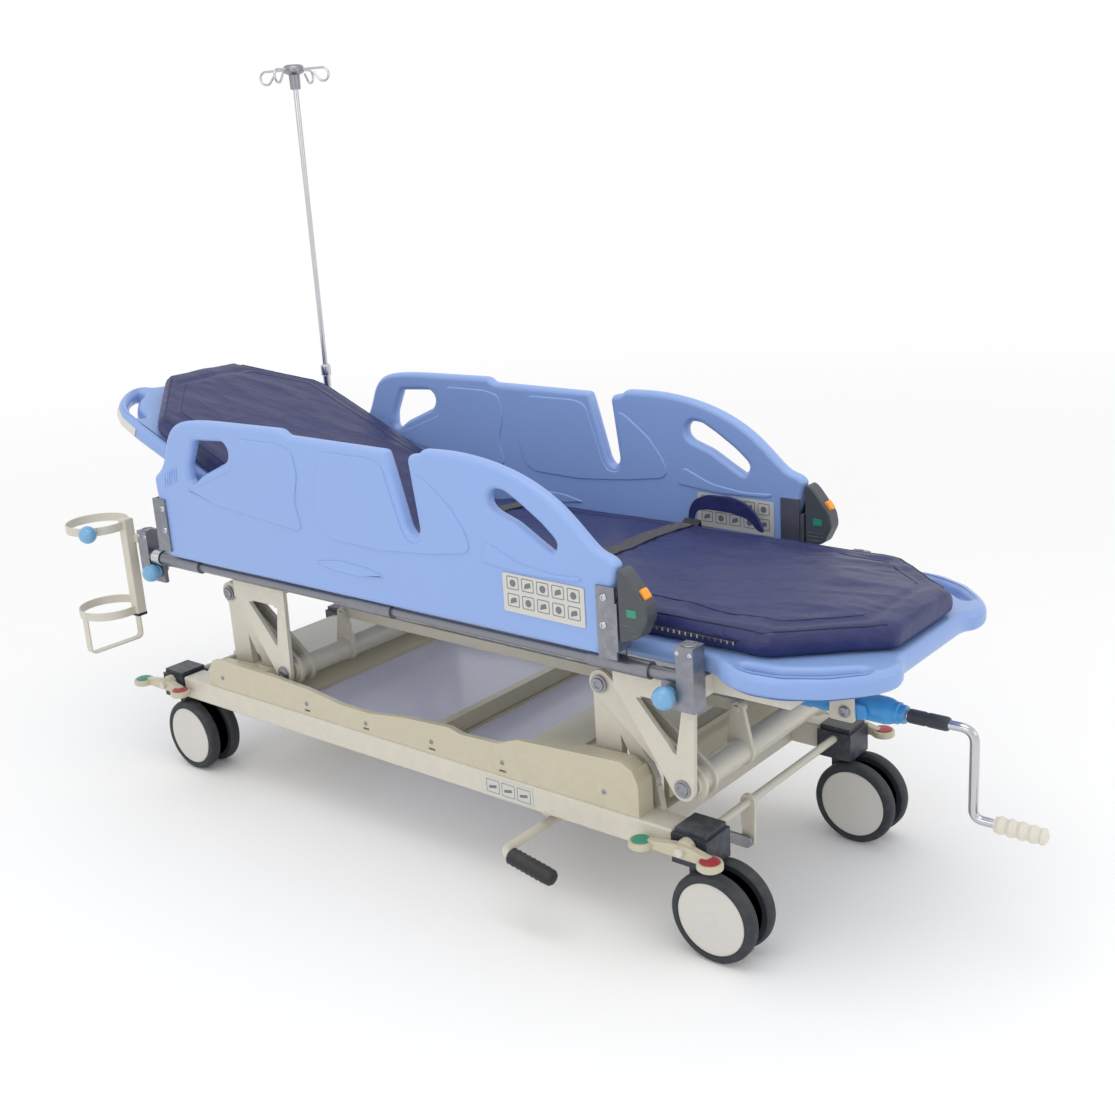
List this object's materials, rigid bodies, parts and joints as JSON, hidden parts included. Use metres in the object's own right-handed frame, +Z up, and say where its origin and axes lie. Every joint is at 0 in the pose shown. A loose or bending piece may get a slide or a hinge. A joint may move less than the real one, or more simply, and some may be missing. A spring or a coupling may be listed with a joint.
{
  "type": "stretcher trolley",
  "caption": "Wheeled patient stretcher with parallel-arm lift, crank-raised backrest, fold-down blue side rails, navy mattress, drip pole, bottle holder and castor brake pedals.",
  "frame": {"origin": "middle of the footprint at floor level, with the bed lowest and the backrest as drawn", "axes": "+X toward the foot end with the crank, +Y toward the drip pole side, +Z up"},
  "size_m": [2.246, 0.833, 1.632],
  "materials": {
    "base_rails": "beige powder coat",
    "base_crossmembers": "beige powder coat",
    "base_cover": "glossy cream moulding",
    "tray_floor": "pale tray liner",
    "lift_legs": "beige powder coat",
    "castor_caps": "dark slate moulding",
    "castor_fork_nf": "dark slate moulding",
    "castor_rims_nf": "smooth light grey disc",
    "castor_tyres_nf": "dark moulded rubber",
    "castor_fork_ff": "dark slate moulding",
    "castor_rims_ff": "smooth light grey disc",
    "castor_tyres_ff": "dark moulded rubber",
    "castor_fork_nh": "dark slate moulding",
    "castor_rims_nh": "smooth light grey disc",
    "castor_tyres_nh": "dark moulded rubber",
    "castor_fork_fh": "dark slate moulding",
    "castor_rims_fh": "smooth light grey disc",
    "castor_tyres_fh": "dark moulded rubber",
    "brake_shaft_foot": "beige powder coat",
    "brake_pedals_foot": "cream pedal with coloured pads",
    "brake_shaft_head": "beige powder coat",
    "brake_pedals_head": "cream pedal with coloured pads",
    "brake_link": "zinc plated steel",
    "pump_lever": "beige powder coat",
    "pump_grip": "black grip",
    "torque_arm_foot": "beige powder coat",
    "torque_arm_head": "beige powder coat",
    "sync_bar": "beige powder coat",
    "bed_frame": "beige powder coat",
    "bed_gussets": "beige powder coat",
    "corner_posts": "zinc plated steel",
    "deck_seat": "light blue blow moulding",
    "mattress_seat": "navy coated fabric",
    "safety_straps": "black webbing",
    "mattress_handles": "navy fabric loop",
    "crank_gearbox": "bright blue housing",
    "deck_back": "light blue blow moulding",
    "mattress_back": "navy coated fabric",
    "push_rod": "polished steel",
    "crank_handle": "plated rod",
    "crank_grip": "ivory grip",
    "rail_frame_near": "zinc plated steel",
    "rail_panel_near": "light blue blow moulding",
    "rail_latch_near": "dark grey latch",
    "rail_button_near": "orange push button",
    "rail_frame_far": "zinc plated steel",
    "rail_panel_far": "light blue blow moulding",
    "rail_latch_far": "dark grey latch",
    "rail_button_far": "orange push button",
    "knob_near_foot": "glossy blue ball",
    "knob_far_foot": "glossy blue ball",
    "knob_near_head": "glossy blue ball",
    "knob_far_head": "glossy blue ball",
    "pole_tube": "polished steel",
    "pole_rod": "polished steel",
    "pole_hooks": "polished steel",
    "bottle_holder": "beige powder coat",
    "holder_knob": "glossy blue ball"
  },
  "bodies": {
    "base": {"base_rails": "base_rails", "base_crossmembers": "base_crossmembers", "base_cover": "base_cover", "tray_floor": "tray_floor", "lift_legs": "lift_legs", "castor_caps": "castor_caps"},
    "brake_foot": {"brake_shaft_foot": "brake_shaft_foot", "brake_pedals_foot": "brake_pedals_foot"},
    "brake_head": {"brake_shaft_head": "brake_shaft_head", "brake_pedals_head": "brake_pedals_head"},
    "brake_rod": {"brake_link": "brake_link"},
    "pump": {"pump_lever": "pump_lever", "pump_grip": "pump_grip"},
    "arm_foot": {"torque_arm_foot": "torque_arm_foot"},
    "arm_head": {"torque_arm_head": "torque_arm_head"},
    "sync": {"sync_bar": "sync_bar"},
    "bed": {"bed_frame": "bed_frame", "bed_gussets": "bed_gussets", "corner_posts": "corner_posts", "deck_seat": "deck_seat", "mattress_seat": "mattress_seat", "safety_straps": "safety_straps", "mattress_handles": "mattress_handles", "crank_gearbox": "crank_gearbox", "pole_tube": "pole_tube", "bottle_holder": "bottle_holder"},
    "backrest": {"deck_back": "deck_back", "mattress_back": "mattress_back"},
    "pusher": {"push_rod": "push_rod"},
    "crank": {"crank_handle": "crank_handle"},
    "grip": {"crank_grip": "crank_grip"},
    "rail_near": {"rail_frame_near": "rail_frame_near", "rail_panel_near": "rail_panel_near", "rail_latch_near": "rail_latch_near"},
    "button_near": {"rail_button_near": "rail_button_near"},
    "rail_far": {"rail_frame_far": "rail_frame_far", "rail_panel_far": "rail_panel_far", "rail_latch_far": "rail_latch_far"},
    "button_far": {"rail_button_far": "rail_button_far"},
    "pull_near_foot": {"knob_near_foot": "knob_near_foot"},
    "pull_far_foot": {"knob_far_foot": "knob_far_foot"},
    "pull_near_head": {"knob_near_head": "knob_near_head"},
    "pull_far_head": {"knob_far_head": "knob_far_head"},
    "pole": {"pole_rod": "pole_rod", "pole_hooks": "pole_hooks"},
    "clamp_knob": {"holder_knob": "holder_knob"},
    "swivel_nf": {"castor_fork_nf": "castor_fork_nf"},
    "wheels_nf": {"castor_rims_nf": "castor_rims_nf", "castor_tyres_nf": "castor_tyres_nf"},
    "swivel_ff": {"castor_fork_ff": "castor_fork_ff"},
    "wheels_ff": {"castor_rims_ff": "castor_rims_ff", "castor_tyres_ff": "castor_tyres_ff"},
    "swivel_nh": {"castor_fork_nh": "castor_fork_nh"},
    "wheels_nh": {"castor_rims_nh": "castor_rims_nh", "castor_tyres_nh": "castor_tyres_nh"},
    "swivel_fh": {"castor_fork_fh": "castor_fork_fh"},
    "wheels_fh": {"castor_rims_fh": "castor_rims_fh", "castor_tyres_fh": "castor_tyres_fh"}
  },
  "joints": [
    {"name": "swivel_nf_turn", "type": "hinge", "parent": "base", "child": "swivel_nf", "pos_m": [0.6, -0.24157, 0.18], "axis": [0, 0, 1], "continuous": true},
    {"name": "wheels_nf_roll", "type": "hinge", "parent": "swivel_nf", "child": "wheels_nf", "pos_m": [0.644, -0.24157, 0.086], "axis": [0, 1, 0], "continuous": true},
    {"name": "swivel_ff_turn", "type": "hinge", "parent": "base", "child": "swivel_ff", "pos_m": [0.6, 0.28443, 0.18], "axis": [0, 0, 1], "continuous": true},
    {"name": "wheels_ff_roll", "type": "hinge", "parent": "swivel_ff", "child": "wheels_ff", "pos_m": [0.644, 0.28443, 0.086], "axis": [0, 1, 0], "continuous": true},
    {"name": "swivel_nh_turn", "type": "hinge", "parent": "base", "child": "swivel_nh", "pos_m": [-0.9, -0.24157, 0.18], "axis": [0, 0, 1], "continuous": true},
    {"name": "wheels_nh_roll", "type": "hinge", "parent": "swivel_nh", "child": "wheels_nh", "pos_m": [-0.856, -0.24157, 0.086], "axis": [0, 1, 0], "continuous": true},
    {"name": "swivel_fh_turn", "type": "hinge", "parent": "base", "child": "swivel_fh", "pos_m": [-0.9, 0.28443, 0.18], "axis": [0, 0, 1], "continuous": true},
    {"name": "wheels_fh_roll", "type": "hinge", "parent": "swivel_fh", "child": "wheels_fh", "pos_m": [-0.856, 0.28443, 0.086], "axis": [0, 1, 0], "continuous": true},
    {"name": "brake_foot_turn", "type": "hinge", "parent": "base", "child": "brake_foot", "pos_m": [0.6, 0.02143, 0.218], "axis": [0, 1, 0], "range_deg": [-15, 15]},
    {"name": "brake_head_turn", "type": "hinge", "parent": "base", "child": "brake_head", "pos_m": [-0.9, 0.02143, 0.218], "axis": [0, 1, 0], "range_deg": [-15, 15]},
    {"name": "brake_rod_turn", "type": "hinge", "parent": "brake_foot", "child": "brake_rod", "pos_m": [0.6, -0.09157, 0.14], "axis": [0, 1, 0], "range_deg": [-15, 15]},
    {"name": "pump_press", "type": "hinge", "parent": "base", "child": "pump", "pos_m": [0.2, -0.16857, 0.15], "axis": [1, 0, 0], "range_deg": [0, 18], "stiffness_Nm_per_rad": 8, "springref_deg": -34.38},
    {"name": "lift", "type": "hinge", "parent": "base", "child": "arm_foot", "pos_m": [0.374, 0.02143, 0.457], "axis": [0, -1, 0], "range_deg": [0, 58]},
    {"name": "bed_level", "type": "hinge", "parent": "arm_foot", "child": "bed", "pos_m": [0.569, 0.02143, 0.305], "axis": [0, -1, 0], "range_deg": [-58, 0]},
    {"name": "arm_head_turn", "type": "hinge", "parent": "bed", "child": "arm_head", "pos_m": [-0.513, 0.02143, 0.305], "axis": [0, -1, 0], "range_deg": [0, 58]},
    {"name": "sync_turn", "type": "hinge", "parent": "arm_foot", "child": "sync", "pos_m": [0.565, -0.05357, 0.389], "axis": [0, -1, 0], "range_deg": [-58, 0]},
    {"name": "backrest_hinge", "type": "hinge", "parent": "bed", "child": "backrest", "pos_m": [-0.3, 0.02143, 0.555], "axis": [0, 1, 0], "range_deg": [-22, 50]},
    {"name": "pusher_slide", "type": "slide", "parent": "bed", "child": "pusher", "axis": [-1, 0, 0], "range_m": [-0.0504, 0.1144]},
    {"name": "crank_turn", "type": "hinge", "parent": "bed", "child": "crank", "pos_m": [0.85, 0.02143, 0.415], "axis": [1, 0, 0], "continuous": true},
    {"name": "grip_turn", "type": "hinge", "parent": "crank", "child": "grip", "pos_m": [1.07, 0.02143, 0.249], "axis": [1, 0, 0], "continuous": true},
    {"name": "rail_near_fold", "type": "hinge", "parent": "bed", "child": "rail_near", "pos_m": [-0.15, -0.28457, 0.538], "axis": [1, 0, 0], "range_deg": [0, 165]},
    {"name": "rail_far_fold", "type": "hinge", "parent": "bed", "child": "rail_far", "pos_m": [-0.15, 0.32743, 0.538], "axis": [-1, 0, 0], "range_deg": [0, 165]},
    {"name": "button_near_press", "type": "slide", "parent": "rail_near", "child": "button_near", "axis": [-0.788, 0, -0.6157], "range_m": [0, 0.006], "stiffness_N_per_m": 400, "springref_m": -0.01},
    {"name": "button_far_press", "type": "slide", "parent": "rail_far", "child": "button_far", "axis": [-0.788, 0, -0.6157], "range_m": [0, 0.006], "stiffness_N_per_m": 400, "springref_m": -0.01},
    {"name": "knob_near_foot_pull", "type": "slide", "parent": "bed", "child": "pull_near_foot", "axis": [0, -1, 0], "range_m": [0, 0.008], "stiffness_N_per_m": 500, "springref_m": -0.01},
    {"name": "knob_far_foot_pull", "type": "slide", "parent": "bed", "child": "pull_far_foot", "axis": [0, 1, 0], "range_m": [0, 0.008], "stiffness_N_per_m": 500, "springref_m": -0.01},
    {"name": "knob_near_head_pull", "type": "slide", "parent": "bed", "child": "pull_near_head", "axis": [0, -1, 0], "range_m": [0, 0.008], "stiffness_N_per_m": 500, "springref_m": -0.01},
    {"name": "knob_far_head_pull", "type": "slide", "parent": "bed", "child": "pull_far_head", "axis": [0, 1, 0], "range_m": [0, 0.008], "stiffness_N_per_m": 500, "springref_m": -0.01},
    {"name": "pole_raise", "type": "slide", "parent": "bed", "child": "pole", "axis": [0, 0, 1], "range_m": [-0.012, 0.25]},
    {"name": "clamp_turn", "type": "hinge", "parent": "bed", "child": "clamp_knob", "pos_m": [-1.05, -0.32457, 0.604], "axis": [0.682, -0.7314, 0], "continuous": true}
  ],
  "couplings": [
    {"joint": "brake_head_turn", "follows": "brake_foot_turn", "ratio": 1},
    {"joint": "brake_rod_turn", "follows": "brake_foot_turn", "ratio": -1},
    {"joint": "bed_level", "follows": "lift", "ratio": -1},
    {"joint": "arm_head_turn", "follows": "lift", "ratio": 1},
    {"joint": "sync_turn", "follows": "lift", "ratio": -1},
    {"joint": "pusher_slide", "follows": "backrest_hinge", "m_per_rad": 0.13097}
  ]
}
